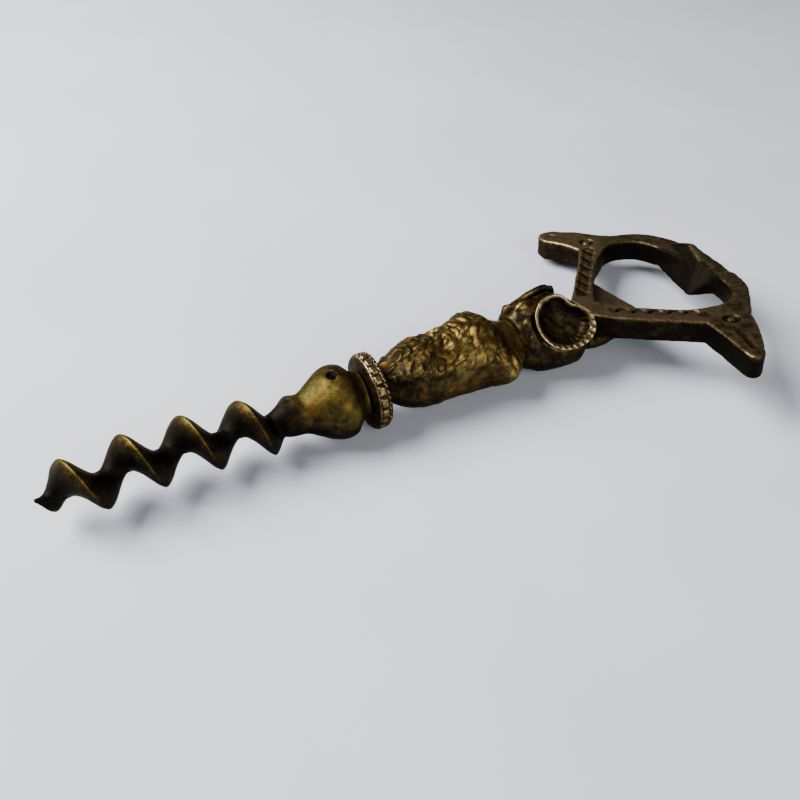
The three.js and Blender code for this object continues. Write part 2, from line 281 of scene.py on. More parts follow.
def wear(obj, base, lift, gain=0.0, rounds=0, extra=0.0):
    """Paints wear and light: how rubbed the brass is, from 0 for black patina to 1 for bright metal,
    with painted light and shade added to it.

    lift adds painted light on faces that look up and painted shade on faces that look down, and gain
    adds wear on ridges as relief_of finds them.
    """
    value = base + lift * facing_up(obj) + extra
    if gain:
        value = value + gain * relief_of(obj, rounds)
    paint(obj, wear=value)


def fuse(name, objects, voxel, smoothing):
    """Joins closed meshes into one skin with softly rounded seams; voxel is in mm."""
    merged = bmesh.new()
    for obj in objects:
        merged.from_mesh(obj.data)
        bpy.data.objects.remove(obj)
    mesh = bpy.data.meshes.new(name)
    merged.to_mesh(mesh)
    merged.free()
    obj = add_object(name, mesh)
    remesh = obj.modifiers.new("skin", "REMESH")
    remesh.mode = "VOXEL"
    remesh.voxel_size = voxel * MM
    soften = obj.modifiers.new("soften", "SMOOTH")
    soften.factor = 0.5
    soften.iterations = smoothing
    graph = bpy.context.evaluated_depsgraph_get()
    obj.data = bpy.data.meshes.new_from_object(obj.evaluated_get(graph))
    obj.modifiers.clear()
    obj.data.name = name
    shade_smooth(obj.data)
    return obj


# ---- materials ------------------------------------------------------------------------------
class Nodes:
    """A short way to write a node graph."""

    def __init__(self, name):
        self.material = bpy.data.materials.new(name)
        self.material.use_nodes = True
        self.tree = self.material.node_tree
        self.shader = self.tree.nodes["Principled BSDF"]

    def add(self, kind, inputs=None, **settings):
        node = self.tree.nodes.new(kind)
        for key, value in settings.items():
            setattr(node, key, value)
        for key, value in (inputs or {}).items():
            if isinstance(value, bpy.types.NodeSocket):
                self.tree.links.new(value, node.inputs[key])
            else:
                node.inputs[key].default_value = value
        return node

    def maths(self, operation, a, b, clamp=False):
        return self.add("ShaderNodeMath", {0: a, 1: b}, operation=operation,
                        use_clamp=clamp).outputs[0]

    def place(self):
        """Where a point is, in mm."""
        coordinates = self.add("ShaderNodeTexCoord")
        return self.add("ShaderNodeVectorMath", {0: coordinates.outputs["Object"], 3: 1 / MM},
                        operation="SCALE").outputs[0]

    def noise(self, place, scale, detail=4.0, roughness=0.55, distortion=0.0):
        """Noise from 0 to 1 with scale lumps to the millimetre."""
        return self.add("ShaderNodeTexNoise", {
            "Vector": place, "Scale": scale, "Detail": detail, "Roughness": roughness,
            "Distortion": distortion}).outputs["Fac"]

    def ramp(self, value, stops):
        """Colours that follow value; stops are (position, colour) pairs."""
        node = self.add("ShaderNodeValToRGB", {"Fac": value})
        elements = node.color_ramp.elements
        while len(elements) < len(stops):
            elements.new(0.5)
        for element, (position, color) in zip(elements, stops):
            element.position = position
            element.color = (*color, 1)
        return node.outputs["Color"]

    def spread(self, value, low_in, high_in, low_out, high_out):
        """Value taken from one range to another, and held at the ends of it."""
        return self.add("ShaderNodeMapRange", {
            "Value": value, 1: low_in, 2: high_in, 3: low_out, 4: high_out}).outputs[0]

    def mix(self, factor, a, b):
        """Colour a with colour b over it by factor."""
        node = self.add("ShaderNodeMix", data_type="RGBA")
        self.tree.links.new(factor, node.inputs[0])
        self.tree.links.new(a, node.inputs[6])
        node.inputs[7].default_value = (*b, 1)
        return node.outputs[2]

    def shade(self, name, value):
        self.tree.links.new(value, self.shader.inputs[name])


# linear colours, each group from dark to bright; wear and painted light pick between them
SOOT = (0.0035, 0.0024, 0.0014)    # black patina
UMBER = (0.014, 0.009, 0.0048)
DULL = (0.036, 0.027, 0.013)       # half-rubbed: handle
OLIVE = (0.042, 0.031, 0.013)      # collar, head and eye discs
MOSS = (0.043, 0.034, 0.0085)      # worm and bulb
AMBER = (0.046, 0.032, 0.010)      # torso
STRAW = (0.098, 0.074, 0.016)      # rubbed: worm and bulb
BRASS = (0.128, 0.089, 0.026)      # torso and head
KHAKI = (0.165, 0.120, 0.063)      # handle
TAN = (0.20, 0.145, 0.068)         # handle, collar and eye discs
GOLD = (0.29, 0.21, 0.062)         # bright ridges and painted highlights: worm, bulb, torso and head
PALE = (0.36, 0.28, 0.15)          # collar and eye discs
RED_BROWN = (0.022, 0.0065, 0.0035)  # dirt in the handle's cuts
GREEN = (0.060, 0.062, 0.012)      # patches on all the brass
RUST = (0.15, 0.068, 0.016)
SPECULAR_TINT = (0.62, 0.59, 0.53)

MOTTLE_SCALE = 0.55                # lumps to the millimetre
SPECKLE_SCALE = 3.2
GRAIN_SCALE = 11.0
RUST_SCALE = 0.42
GREEN_SCALE = 0.9
GREEN_AMOUNT = 0.4
GRAIN_DEPTH = 0.1                  # mm


def old_brass(name, stops, patch=0.5, rough=(0.56, 0.30), metal=1.0, red=False):
    """Aged brass: black patina in hollows, rubbed metal on ridges, rust-brown and green patches, and
    the painted light and shade carried with the wear.

    patch is how strong the rust is, rough the roughness of black and of rubbed brass, metal how
    metallic the rubbed brass is, and red adds the painted red-brown dirt.
    """
    graph = Nodes(name)
    place = graph.place()
    # how rubbed each point is, with painted light and shade on top of it
    worn_and_lit = graph.add("ShaderNodeAttribute", attribute_name="wear").outputs["Fac"]
    mottle = graph.noise(place, MOTTLE_SCALE, 6.0, 0.62)
    speckle = graph.noise(place, SPECKLE_SCALE, 3.0, 0.6)
    grain = graph.noise(place, GRAIN_SCALE, 2.0, 0.5)
    varied = graph.maths("ADD", worn_and_lit, graph.spread(mottle, 0.25, 0.75, -0.20, 0.20))
    varied = graph.maths("ADD", varied, graph.spread(speckle, 0.3, 0.7, -0.12, 0.10), True)

    color = graph.ramp(varied, stops)
    lit = graph.spread(varied, 0.15, 0.5, 0.0, 1.0)
    rust = graph.noise(place, RUST_SCALE, 4.0, 0.55, 0.6)
    rust = graph.spread(rust, 0.50, 0.64, 0.0, patch)
    color = graph.mix(graph.maths("MULTIPLY", rust, lit), color, RUST)
    green = graph.noise(place, GREEN_SCALE, 3.0, 0.5, 0.3)
    green = graph.spread(green, 0.56, 0.70, 0.0, GREEN_AMOUNT)
    color = graph.mix(graph.maths("MULTIPLY", green, lit), color, GREEN)
    if red:
        marked = graph.add("ShaderNodeAttribute", attribute_name="red").outputs["Fac"]
        color = graph.mix(marked, color, RED_BROWN)
    graph.shade("Base Color", color)

    graph.shade("Metallic", graph.spread(varied, 0.1, 0.5, 0.8, metal))
    shine = graph.spread(varied, 0.1, 0.85, *rough)
    uneven = graph.spread(speckle, 0.3, 0.7, -0.06, 0.08)
    graph.shade("Roughness", graph.maths("ADD", shine, uneven, True))
    height = graph.maths("ADD", graph.maths("MULTIPLY", speckle, 0.7),
                         graph.maths("MULTIPLY", grain, 0.3))
    bump = graph.add("ShaderNodeBump", {
        "Strength": 0.5, "Distance": GRAIN_DEPTH * MM, "Height": height})
    graph.shade("Normal", bump.outputs["Normal"])
    graph.shader.inputs["Specular IOR Level"].default_value = 0.2
    graph.shader.inputs["Specular Tint"].default_value = (*SPECULAR_TINT, 1)
    return graph.material


def ramp_of(*colors, start=0.08, end=0.92):
    """Evenly spaced stops for the ramp of wear and painted light, from black patina to bright metal.
    """
    step = (end - start) / (len(colors) - 1)
    return [(start + i * step, color) for i, color in enumerate(colors)]


STEM_METAL = old_brass("stem_metal", ramp_of(SOOT, UMBER, MOSS, STRAW, GOLD), patch=0.42,
                       rough=(0.54, 0.46))
COLLAR_METAL = old_brass("collar_metal", ramp_of(SOOT, UMBER, OLIVE, TAN, PALE), patch=0.3)
TORSO_METAL = old_brass("torso_metal", ramp_of(SOOT, UMBER, AMBER, BRASS, GOLD), patch=0.6,
                        rough=(0.55, 0.38))
HEAD_METAL = old_brass("head_metal", ramp_of(SOOT, UMBER, OLIVE, BRASS, GOLD))
EYE_METAL = old_brass("eye_metal", ramp_of(SOOT, UMBER, OLIVE, TAN, PALE), patch=0.45)
FRAME_METAL = old_brass("frame_metal", ramp_of(SOOT, UMBER, DULL, KHAKI, TAN), patch=0.15,
                        metal=0.90, red=True)
PIN_METAL = old_brass("pin_metal", ramp_of(SOOT, SOOT, UMBER, UMBER, OLIVE))


def keep_in_box(obj):
    """Holds every point inside the CAD model's box."""
    box_low, box_high = (np.array(corner) for corner in CAD_BOX)
    set_row_points(obj, np.clip(row_points(obj), box_low, box_high))


def finish_piece(obj, material, slot, *nodes):
    """Gives a piece its metal, keeps it in the CAD box, hangs it on the root body and hides the CAD
    nodes it stands for.
    """
    keep_in_box(obj)
    obj.data.materials.clear()
    obj.data.materials.append(material)
    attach(obj, "root")
    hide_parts(*nodes)


# ---- worm and bulb --------------------------------------------------------------------------
PITCH = 8.4
WORM_CORE = 0.95
CREST_HEIGHT = 3.80                # above the core
CREST_SHARPNESS = 1.7
CREST_LINE = 0.10                  # height of the thin line along the crest
WORM_PHASE = -0.82                 # radians
WORM_POINT = 0.12                  # radius of the very tip
WORM_BOW = 1.2                     # the worm is bent up and back by this much halfway
TIP_LIFT = 1.1
SEAM_SHARPNESS = 2.6               # how tightly the worm's last turn meets the bulb
BULB_PROFILE = curve_through([
    (-20, 0.9), (-17.6, 1.7), (-15.9, 2.7), (-14.2, 3.1), (-12.6, 3.35), (-10.7, 4.4), (-8.7, 5.6),
    (-6.8, 6.1), (-5.2, 5.8), (-4.2, 4.85), (-3.5, 4.2), (BULB_END, 3.9)])
BULB_ROUNDING = 0.25               # at the edge of the bulb's end face
HIGHLIGHT_STREAK_ANGLE = 2.3                 # radians; a painted highlight streak from the bulb's nose to its pit
HIGHLIGHT_SPOT_ANGLE = 2.95                  # a painted highlight spot low on the front
HIGHLIGHT_SPOT_X = -5.2
PIN_X = -7.3
PIN_LEAN = math.radians(9.5)
PIN_RADIUS = 0.5
PIN_REACH = 5.2                    # from the line to the root of each upset end
PIT_DEPTH = 0.6


def crest_drift(x, angle):
    """The worm is forged by hand: its crests wander, forwards near the bulb, backwards at the tip."""
    top = 0.5 + 0.5 * np.cos(angle - math.pi / 4)
    forward = 1.35 * np.clip((x + 49) / 34, 0, 1) - 0.42
    return top * forward - 0.6 * (1 - top) * (1 - smooth_step(x, -51, -46))


def worm_turn(x, angle):
    """How far round a point is from the worm's crest, in radians."""
    return wrapped(2 * math.pi * x / PITCH - angle + WORM_PHASE - crest_drift(x, angle))


def worm_radius(x, angle):
    turn = worm_turn(x, angle)
    wave = (0.5 + 0.5 * np.cos(turn)) ** CREST_SHARPNESS
    crest = WORM_CORE + CREST_HEIGHT * wave + CREST_LINE * hump(turn, 0.20)
    return WORM_POINT + (crest - WORM_POINT) * smooth_step(x, WORM_TIP - 0.5, WORM_TIP + 3.4)


def stem_radius(x, angle):
    """Worm and bulb as one flowing skin: the last turn of the worm runs out over the bulb's nose."""
    fade = 1 - smooth_step(x, -15.6, -10.8)
    worm = WORM_CORE + (worm_radius(x, angle) - WORM_CORE) * fade
    both = np.exp(SEAM_SHARPNESS * worm) + np.exp(SEAM_SHARPNESS * BULB_PROFILE(x))
    return np.log(both) / SEAM_SHARPNESS


def worm_skin(x, angle):
    blend = smooth_step(x, -21, -18.5)
    return worm_radius(x, angle) * (1 - blend) + stem_radius(x, angle) * blend


def bulb_skin(x, angle):
    return stem_radius(x, angle) - BULB_ROUNDING * smooth_step(x, BULB_END - 0.35, BULB_END) ** 2


def worm_bow(x):
    """How far the bent worm stands off the line at x, as offsets in mm."""
    share = np.clip((x - WORM_JOIN) / (WORM_TIP - WORM_JOIN), 0, 1)
    bow = WORM_BOW * np.sin(math.pi * share ** 1.2)
    lifted = TIP_LIFT * (1 - smooth_step(x, WORM_TIP - 0.5, WORM_TIP + 3.2))
    return np.stack([0 * bow, 0.58 * bow, 0.81 * bow + lifted], -1)


def worm_wear(points, up):
    """Black patina, rubbed on the crests; painted light on the crests where they face up, and a
    painted highlight in patches along the line of each crest where it faces up.
    """
    x, y, z = points.T
    ridge_highlight = hump(worm_turn(x, np.arctan2(z, y)), 0.15)
    ridge_highlight *= smooth_step(x, -52, -49) * (1 - smooth_step(x, -22, -18))
    patchy = np.clip(0.6 + 0.5 * lumps(points, 1.2, 11.0), 0, 1)
    crest = smooth_step(np.hypot(y, z), 2.4, 4.6)
    return (0.05 + crest * (0.16 + 0.26 * up)
            + 0.42 * ridge_highlight * patchy * smooth_step(up, -0.15, 0.45))


def bulb_wear(points, up):
    """Rubbed brass with painted light: a painted highlight streak along the top front, a painted
    highlight spot below it and painted shade underneath.
    """
    x, y, z = points.T
    angle = np.arctan2(z, y)
    # painted shade on the underside
    low = smooth_step(-up, -0.15, 0.5)
    highlight_streak = hump(wrapped(angle - HIGHLIGHT_STREAK_ANGLE), 0.42) * smooth_step(x, -16, -13)
    highlight_streak *= 1 - 0.8 * smooth_step(x, -8.5, -5.5)
    highlight_spot = hump(wrapped(angle - HIGHLIGHT_SPOT_ANGLE), 0.5) * hump(x - HIGHLIGHT_SPOT_X, 2.0)
    return 0.39 + 0.04 * up - 0.38 * low + 0.15 * highlight_streak + 0.20 * highlight_spot


def stem_wear(points, up):
    """Wear and painted light of worm and bulb, which fade into each other along the bulb's nose."""
    bulb = smooth_step(points[:, 0], -17.5, -10.5)
    return worm_wear(points, up) * (1 - bulb) + bulb_wear(points, up) * bulb


def make_worm():
    obj = radial_piece("worm_screw", WORM_TIP, WORM_JOIN + 0.05, 420, 110, worm_skin, worm_bow)
    points = line_points(obj)
    away = 1 - smooth_step(points[:, 0], WORM_JOIN - 1.5, WORM_JOIN - 0.2)
    move_along_normal(obj, away * (0.04 * lumps(points, 1.3, 3.0) + 0.02 * lumps(points, 0.5, 8.0)))
    paint(obj, wear=stem_wear(points - worm_bow(points[:, 0]), facing_up(obj)))
    finish_piece(obj, STEM_METAL, "dark_bronze_worm", "worm")


def make_bulb():
    obj = radial_piece("bulb_body", WORM_JOIN, BULB_END, 190, 220, bulb_skin)
    points = line_points(obj)
    x, y, z = points.T
    aside = y * math.cos(PIN_LEAN) + z * math.sin(PIN_LEAN)
    gap = np.hypot(x - PIN_X, 0.8 * aside) + 0.16 * lumps(points, 0.6, 2.0)
    pit = 1 - smooth_step(gap, 0.25, 1.0)
    away = smooth_step(x, WORM_JOIN + 0.2, WORM_JOIN + 1.5)
    dents = 0.10 * lumps(points, 3.0, 5.0) + 0.035 * lumps(points, 1.1, 2.0)
    move_along_normal(obj, away * dents - PIT_DEPTH * pit)
    # wear and painted light, with painted light on the bulb's narrow end by the collar
    shine = stem_wear(points, facing_up(obj)) + 0.12 * smooth_step(x, -5.2, -4.0)
    # darker in and round the pin's pit
    darker_round_pit = 0.40 * (1 - smooth_step(gap, 0.4, 1.6)) + 0.3 * pit
    paint(obj, wear=shine - darker_round_pit + 1.6 * away * relief_of(obj, 30) * (1 - pit))
    finish_piece(obj, STEM_METAL, "polished_old_brass", "bulb")


def make_pin():
    """The cross pin, its two upset ends low in their pits."""
    rod = ball((PIN_X, 0, 0), (PIN_RADIUS, PIN_RADIUS, PIN_REACH), 24, 24)
    ends = [ball((PIN_X, 0, side * (PIN_REACH + 0.1)), (0.56, 0.56, 0.30), 24, 32)
            for side in (-1, 1)]
    obj = fuse("cross_pin", [*ends, rod], 0.09, 2)
    set_row_points(obj, to_row(line_points(obj) @ turn_about_line(PIN_LEAN).T))
    # painted light on faces that look up, and wear on ridges
    wear(obj, 0.15, 0.1, 1.0, 10)
    finish_piece(obj, PIN_METAL, "dark_pin", "worm_cross_pin")


# ---- collar ---------------------------------------------------------------------------------
CROWN_RADIUS = 6.38
EDGE_DROP = 0.9                    # from the crown to the collar's two edges
BEADS = 20                         # block beads in the main row; the front row has twice as many
BEAD_GAP_DEPTH = 0.36
SMALL_GAP_DEPTH = 0.30
GROOVE_DEPTH = 0.26


def across_collar(x):
    """Place along the collar, from -1 at its back face to 1 at its front face."""
    return (x - (COLLAR_BACK + COLLAR_FRONT) / 2) / ((COLLAR_FRONT - COLLAR_BACK) / 2)


def collar_relief(across, angle):
    """Depth below the collar's crown: bead gaps, the groove between the rows and the back step."""
    gap = hump(np.sin(BEADS / 2 * angle + 0.25 * np.sin(3 * angle)), 0.42)
    small_gap = hump(np.sin(BEADS * (angle + 0.05)), 0.5)
    back_row = smooth_step(across, -0.66, -0.48) * (1 - smooth_step(across, 0.20, 0.32))
    front_row = smooth_step(across, 0.36, 0.46) * (1 - smooth_step(across, 0.94, 1.0))
    grooves = hump(across - 0.33, 0.08) + 0.6 * hump(across + 0.60, 0.10)
    return (BEAD_GAP_DEPTH * gap * back_row + SMALL_GAP_DEPTH * small_gap * front_row
            + GROOVE_DEPTH * grooves)


def collar_radius(x, angle):
    across = across_collar(x)
    return CROWN_RADIUS - EDGE_DROP * np.abs(across) ** 5 - collar_relief(across, angle)


def make_collar():
    obj = radial_piece("collar_ring", COLLAR_BACK, COLLAR_FRONT, 64, 800, collar_radius)
    points = line_points(obj)
    move_along_normal(obj, 0.08 * lumps(points, 1.4, 4.0) + 0.06 * lumps(points, 0.5, 1.0))
    # painted shade on the collar's two flat end faces, between it and its neighbours
    shaded_end_faces = smooth_step(np.abs(line_normals(obj)[:, 0]), 0.6, 0.95)
    deep = collar_relief(across_collar(points[:, 0]), np.arctan2(points[:, 2], points[:, 1]))
    # painted light on faces that look up; bead gaps and grooves darker
    wear(obj, 0.63, 0.20, extra=-1.05 * deep - 0.30 * shaded_end_faces)
    finish_piece(obj, COLLAR_METAL, "beaded_brass", "beaded_collar")


# ---- torso ----------------------------------------------------------------------------------
TORSO_PROFILE = curve_through([
    (TORSO_START, 3.0), (2.0, 3.4), (3.6, 4.4), (5.5, 5.3), (8, 5.9), (12, 5.9), (16, 6.1),
    (19, 6.25), (20.9, 6.0), (22.5, 4.9), (24, 4.4), (TORSO_END, 4.0)])
# x, angle in degrees, length, spread in degrees and height; each lobe is mirrored left to right
SHOULDER = (22.9, 190, 2.7, 31, 2.8)
BREAST = (18.5, 125, 3.4, 34, 1.0)
# the lower edge of the feather mantle: degrees down from the top of the back, along the line
MANTLE_EDGE = curve_through([
    (TORSO_START, 54), (5, 58), (9, 67), (13.4, 70), (16, 71), (18.5, 78), (TORSO_END, 86)])
STROKES = 560
STROKE_SEED = 21
STROKE_RADIUS = 5.9                # strokes are laid out as on a drum of this radius
FEATHER_SINK = 0.12                # the ground between the strokes lies this deep


def lobe_share(x, angle, place, turn, length, spread):
    """1 on the middle of a lobe and of its mirror image, falling to 0 around them."""
    both = [hump(np.abs(wrapped(angle - math.radians(side))), math.radians(spread))
            for side in (turn, 180 - turn)]
    return hump(x - place, length) * sum(both)


def torso_radius(x, angle):
    return TORSO_PROFILE(x) + sum(height * lobe_share(x, angle, *lobe)
                                  for *lobe, height in (SHOULDER, BREAST))


def shoulder(x, angle):
    """1 on the middle of each shoulder lobe, 0 off it."""
    place, turn, length, spread, _ = SHOULDER
    return lobe_share(x, angle, place, turn, 0.8 * length, 0.85 * spread)


def below_mantle(x, angle):
    """Degrees below the mantle's edge, negative on the mantle."""
    return np.degrees(np.abs(wrapped(angle - math.pi / 2))) - MANTLE_EDGE(x)


def neck_share(x, angle):
    """1 on the bare neck between the feathers and the head, which the shoulders stand clear of."""
    return smooth_step(x - 2.6 * shoulder(x, angle), 21.9, 22.7)


def feather_relief(x, angle):
    """Short chased strokes that overlap like feathers, each steep on one side."""
    draw = np.random.default_rng(STROKE_SEED)
    relief = np.zeros_like(x)
    for _ in range(STROKES):
        place = draw.uniform(TORSO_START + 1.2, 23.6)
        turn = draw.uniform(-math.pi, math.pi)
        side = 1 if math.cos(turn) > 0 else -1
        lean = side * draw.normal(0.75, 0.55)
        length, width = draw.uniform(0.8, 1.7), draw.uniform(0.40, 0.80)
        height, bend = draw.uniform(0.14, 0.48), draw.normal(0, 0.16)
        rows = np.abs(x[:, 0] - place) < 2.6 * length
        along_x = x[rows] - place
        around = wrapped(angle[rows] - turn) * STROKE_RADIUS
        along = along_x * math.cos(lean) + around * math.sin(lean)
        across = -along_x * math.sin(lean) + around * math.cos(lean) + bend * along ** 2
        skew = np.where(across > 0, across / (0.7 * width), across / (1.3 * width))
        stroke = height * np.exp(-skew ** 2 - (along / length) ** 2)
        relief[rows] = np.maximum(relief[rows], stroke)
    return relief


def mantle_relief(x, angle):
    """The mantle's thick edge over the smoother body below it."""
    wavy = below_mantle(x, angle) + 3.5 * np.sin(1.1 * x) + 1.5 * np.sin(2.3 * x + 1)
    ends = smooth_step(x, 1.0, 2.6) * (1 - smooth_step(x, 19.5, 22))
    lip = 0.30 * hump(wavy + 7, 8) * hump(x - 4, 5.5)
    return ends * (lip - 0.36 * smooth_step(wavy, -6, 7) * (1 - 0.5 * smooth_step(wavy, 12, 45)))


def torso_shade(x, angle):
    """Painted light and shade: lit shoulders, neck and a band round the middle; painted shade on the
    body below the mantle, on the top near the collar and in the seam to the collar.
    """
    wing = shoulder(x, angle)
    body = smooth_step(below_mantle(x, angle), -2, 10) * (1 - wing)
    back = hump(x - 4.5, 4.5) * np.maximum(np.sin(angle), 0)
    seam = 1 - smooth_step(x, 0.9, 2.4)
    return (0.22 * wing - (0.13 + 0.10 * hump(x - 5, 4)) * body + 0.12 * hump(x - 13, 3)
            - 0.24 * back + 0.18 * neck_share(x, angle) - 0.35 * seam)


def make_torso():
    x, angle = grid(TORSO_START, TORSO_END, 320, 400)
    bare = np.maximum(neck_share(x, angle), 1 - smooth_step(x, TORSO_START, 2.4))
    body = smooth_step(below_mantle(x, angle), -4, 8) * (1 - 0.7 * shoulder(x, angle))
    strokes = feather_relief(x, angle) * (1 - bare) * (1 - 0.72 * body)
    radius = torso_radius(x, angle) - FEATHER_SINK * (1 - bare) + strokes + mantle_relief(x, angle)
    obj = skin("torso_body", around_line(x, angle, radius))
    points = line_points(obj)
    move_along_normal(obj, 0.14 * lumps(points, 2.4, 6.0) + 0.06 * lumps(points, 0.8, 1.0))
    shade = torso_shade(points[:, 0], np.arctan2(points[:, 2], points[:, 1]))
    # painted light and shade from torso_shade and on faces that look up, and wear on the feather
    # ridges
    wear(obj, 0.52, 0.07, 2.3, 26, extra=shade)
    finish_piece(obj, TORSO_METAL, "feather_brass", "torso")


# ---- head -----------------------------------------------------------------------------------
HEAD_WIDTH = curve_through([
    (HEAD_START, 3.8), (27, 4.7), (29.5, 5.8), (32, 6.7), (34.5, 7.0), (37, 6.6), (39, 5.1),
    (HEAD_END, 3.2)])
HEAD_TOP = curve_through([
    (HEAD_START, 4.7), (27, 5.6), (29.5, 6.2), (32, 6.4), (34.5, 6.1), (37, 5.1), (39, 4.0),
    (HEAD_END, 2.8)])
HEAD_BOTTOM = curve_through([
    (HEAD_START, 3.6), (27.5, 4.9), (29.5, 5.8), (32, 6.1), (34.5, 6.2), (37, 6.2), (39, 5.7),
    (HEAD_END, 4.6)])
HEAD_SQUARENESS = 2.7
EYE_CENTRE = (33.9, 4.9, 4.5)      # of the rear disc; the front one is its mirror image
EYE_AXIS = (-0.1, 0.77, 0.63)
# dips in the outline of the front disc (-1) and the rear disc (1): degrees up from the side
# towards the handle, spread in degrees, and depth as a share of the radius
EYE_NOTCHES = {-1: [(45, 38, 0.34), (75, 75, 0.14), (-35, 30, -0.10)],
               1: [(40, 38, 0.26), (85, 60, 0.22), (-35, 30, -0.10), (165, 40, -0.06)]}
SIDES = (-1, 1)                    # front and rear


def head_radius(x, angle):
    height = np.where(np.sin(angle) > 0, HEAD_TOP(x), HEAD_BOTTOM(x))
    wide = np.abs(np.cos(angle)) / HEAD_WIDTH(x)
    tall = np.abs(np.sin(angle)) / height
    return (wide ** HEAD_SQUARENESS + tall ** HEAD_SQUARENESS) ** (-1 / HEAD_SQUARENESS)


def eye_share(turn, side):
    """How much of its round radius an eye disc keeps: the side next to the handle is drawn in."""
    return 1 - sum(depth * hump(np.abs(wrapped(turn - math.radians(angle))), math.radians(spread))
                   for angle, spread, depth in EYE_NOTCHES[side])


def eye_frame(side):
    """Centre, axis, forward and upward directions of one eye disc."""
    centre = np.array([EYE_CENTRE[0], side * EYE_CENTRE[1], EYE_CENTRE[2]])
    axis = np.array([EYE_AXIS[0], side * EYE_AXIS[1], EYE_AXIS[2]])
    axis /= np.linalg.norm(axis)
    up = np.array([0, 0, 1]) - axis[2] * axis
    up /= np.linalg.norm(up)
    return centre, axis, -side * np.cross(up, axis), up


def seat_eyes(points):
    """Lowers the head's skin under the two eye discs, so that their rims and bowls stand clear."""
    for side in SIDES:
        centre, axis, along, up = eye_frame(side)
        offset = points - centre
        height = offset @ axis
        turn = np.arctan2(offset @ up, offset @ along)
        away = np.sqrt(np.maximum((offset ** 2).sum(1) - height ** 2, 0))
        away = away / eye_share(turn, side)
        ceiling = -3.3 + 2.6 * smooth_step(away, 4.5, 5.5) + 6 * smooth_step(away, 5.6, 9.0)
        drop = np.maximum(height - ceiling, 0) * (away < 9.0)
        points = points - drop[:, None] * axis
    return points


def head_parts():
    """The closed bodies that the head is fused from."""
    skull = radial_piece("skull", HEAD_START, HEAD_END, 90, 120, head_radius)
    knob = ball((42.2, -2.6, -2.9), (5.2, 2.4, 1.9))
    beak = ball((28.9, 0, 5.2), (2.0, 1.1, 1.9), tilt=-0.5)
    hook = ball((27.3, 0, 4.5), (0.8, 0.7, 1.5), tilt=-0.2)
    brows = [ball((27.9, side * 2.7, 4.0), (1.6, 1.7, 1.7)) for side in SIDES]
    cheeks = [ball((28.6, side * 4.6, 1.0), (1.7, 1.1, 2.4), tilt=0.4) for side in SIDES]
    return [skull, knob, beak, hook, *brows, *cheeks]


def make_head():
    obj = fuse("head_body", head_parts(), 0.17, 4)
    points = seat_eyes(line_points(obj))
    set_row_points(obj, to_row(points))
    hollow = sum(hump(np.linalg.norm(points - (27.2, side * 1.6, 4.9), axis=1), 0.95)
                 for side in SIDES)
    rough = 0.14 * lumps(points, 2.0, 9.0) + 0.10 * lumps(points, 0.9, 4.0)
    move_along_normal(obj, rough - 0.6 * hollow)
    # a painted highlight on the beak and painted light on the nape; the hollows beside the beak
    # painted darker, and painted light on faces that look up
    beak_highlight = hump(points[:, 0] - 28.6, 1.8) * hump(points[:, 1], 1.2) * (points[:, 2] > 4)
    nape_light = 1 - smooth_step(points[:, 0], 26.4, 29.0)
    wear(obj, 0.29, 0.04, 1.2, 26, extra=0.52 * beak_highlight + 0.04 * nape_light - 0.4 * hollow)
    finish_piece(obj, HEAD_METAL, "dark_head_brass", "head")


# ---- eye discs ------------------------------------------------------------------------------
# radius and height against the share of the way from the disc's back, round its rim, into its bowl
EYE_OUTLINE = curve_through([
    (0.0, 0.0), (0.16, 4.1), (0.26, 4.8), (0.34, 5.05), (0.42, 5.35), (0.48, 5.5),
    (0.53, 5.4), (0.58, 4.95), (0.63, 4.5), (0.70, 4.15), (0.80, 3.2), (0.90, 1.7), (1.0, 0.0)])
EYE_HEIGHT = curve_through([
    (0.0, -3.0), (0.16, -2.7), (0.26, -1.9), (0.34, -1.35), (0.42, -0.75), (0.48, -0.25),
    (0.53, 0.0), (0.58, -0.02), (0.63, -0.4), (0.70, -1.1), (0.80, -1.75), (0.90, -2.05),
    (1.0, -2.15)])
EYE_RIBS = 28
RIBBED_SIDE = math.radians(-50)    # ribs and beads are deepest round here


